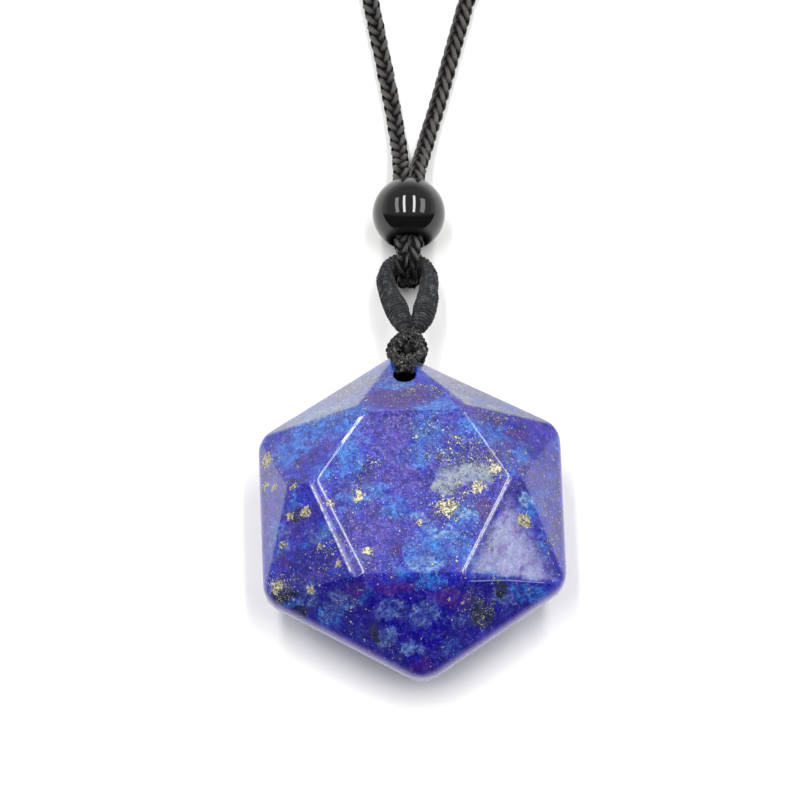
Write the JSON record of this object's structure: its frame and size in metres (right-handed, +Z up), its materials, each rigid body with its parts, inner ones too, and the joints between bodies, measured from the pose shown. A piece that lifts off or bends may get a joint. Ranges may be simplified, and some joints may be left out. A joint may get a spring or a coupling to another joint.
{
  "type": "hexagonal star-cut lapis pendant on a braided neck cord",
  "caption": "Faceted hexagonal blue stone pendant on a black braided neck cord, with a thread-wound loop, a knot and a round black bead, lying on its back.",
  "frame": {"origin": "centre of the stone's back table, on the surface that the pendant lies on", "axes": "+Z up out of the stone's front table, +Y from the stone towards the bead and the neck, +X to the right seen from the front"},
  "size_m": [0.1204, 0.329, 0.0139],
  "materials": {
    "lapis": "polished",
    "thin_cord": "fuzzy",
    "wound_thread": "silky",
    "black_bead": "polished",
    "braid": "braided"
  },
  "bodies": {
    "root": {"stone": "lapis", "hanger_cord": "thin_cord", "wrapped_ring": "wound_thread", "bead": "black_bead", "neck_cord": "braid"}
  },
  "joints": []
}
